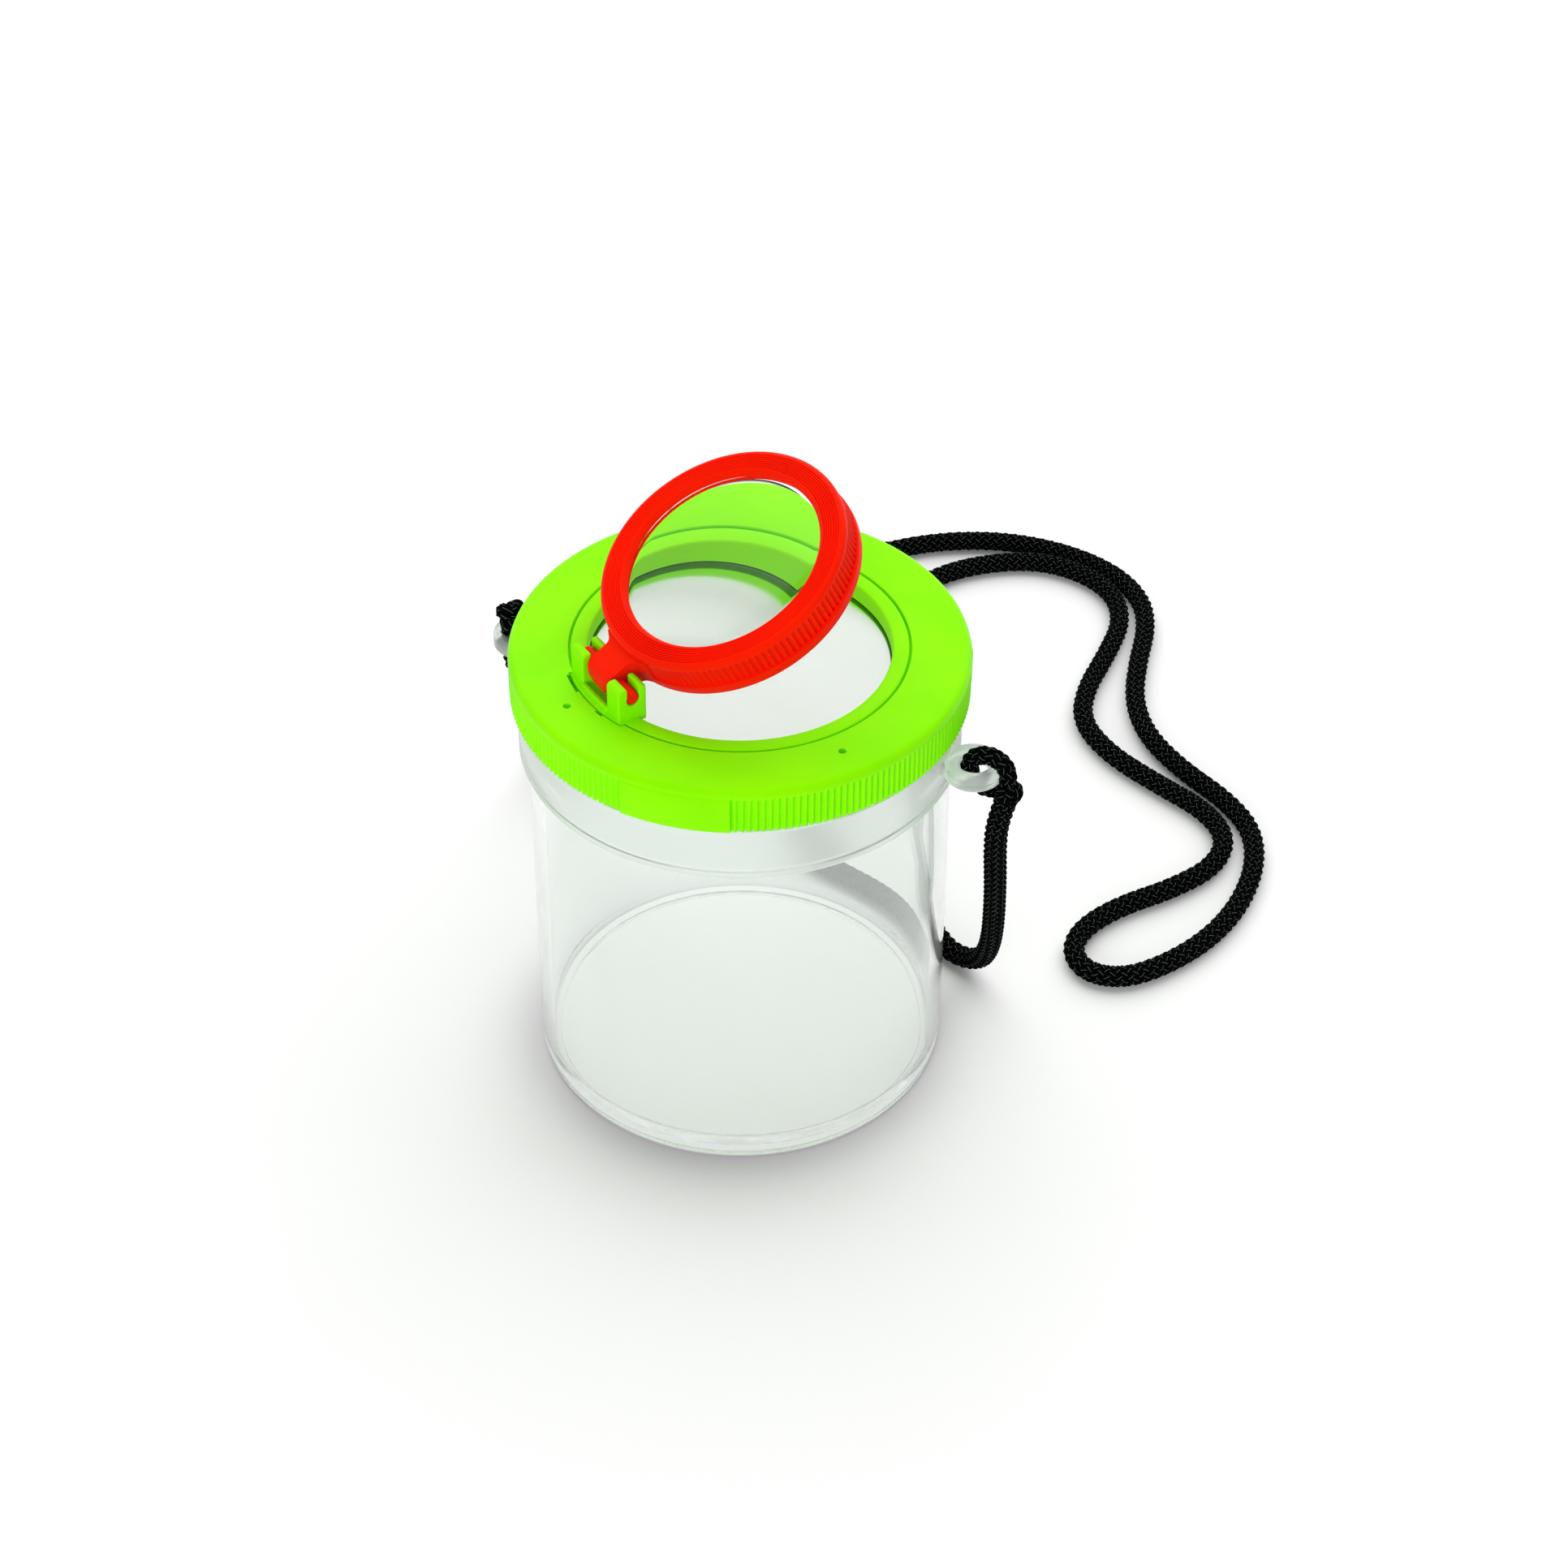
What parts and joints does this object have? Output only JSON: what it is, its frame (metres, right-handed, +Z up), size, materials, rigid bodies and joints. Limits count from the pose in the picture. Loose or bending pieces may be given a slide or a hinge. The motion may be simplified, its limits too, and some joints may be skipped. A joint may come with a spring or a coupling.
{
  "type": "bug catcher jar",
  "caption": "Clear round collecting jar with a ribbed push-on lid, a lens set in the lid, a hinged magnifier above it and a long neck cord.",
  "frame": {"origin": "on the cup's axis, at the surface the foot ring stands on", "axes": "+Z up along the cup's axis; -Y is the side the picture is taken from and +X is its right"},
  "size_m": [0.1498, 0.1899, 0.1171],
  "materials": {
    "clear_plastic": "clear moulded polystyrene, polished",
    "lime_plastic": "satin-gloss moulded lime plastic",
    "red_plastic": "satin-gloss moulded orange-red plastic",
    "lens_plastic": "clear polished acrylic",
    "black_cord": "black braided synthetic cord with a slight sheen"
  },
  "bodies": {
    "cup": {"cup": "clear_plastic", "neck_cord": "black_cord", "cord_loop": "black_cord", "loop_knot": "black_cord", "stopper_knot": "black_cord"},
    "lid": {"lid": "lime_plastic", "lens_ring": "lime_plastic", "lid_lens": "lens_plastic"},
    "magnifier": {"magnifier_frame": "red_plastic", "magnifier_lens": "lens_plastic"}
  },
  "joints": [
    {"name": "lid_lift", "type": "slide", "parent": "cup", "child": "lid", "axis": [0, 0, 1], "range_m": [0, 0.06]},
    {"name": "magnifier_tilt", "type": "hinge", "parent": "lid", "child": "magnifier", "pos_m": [-0.02188, -0.01367, 0.0914], "axis": [0.5299, -0.848, 0], "range_deg": [-27, 123]}
  ]
}
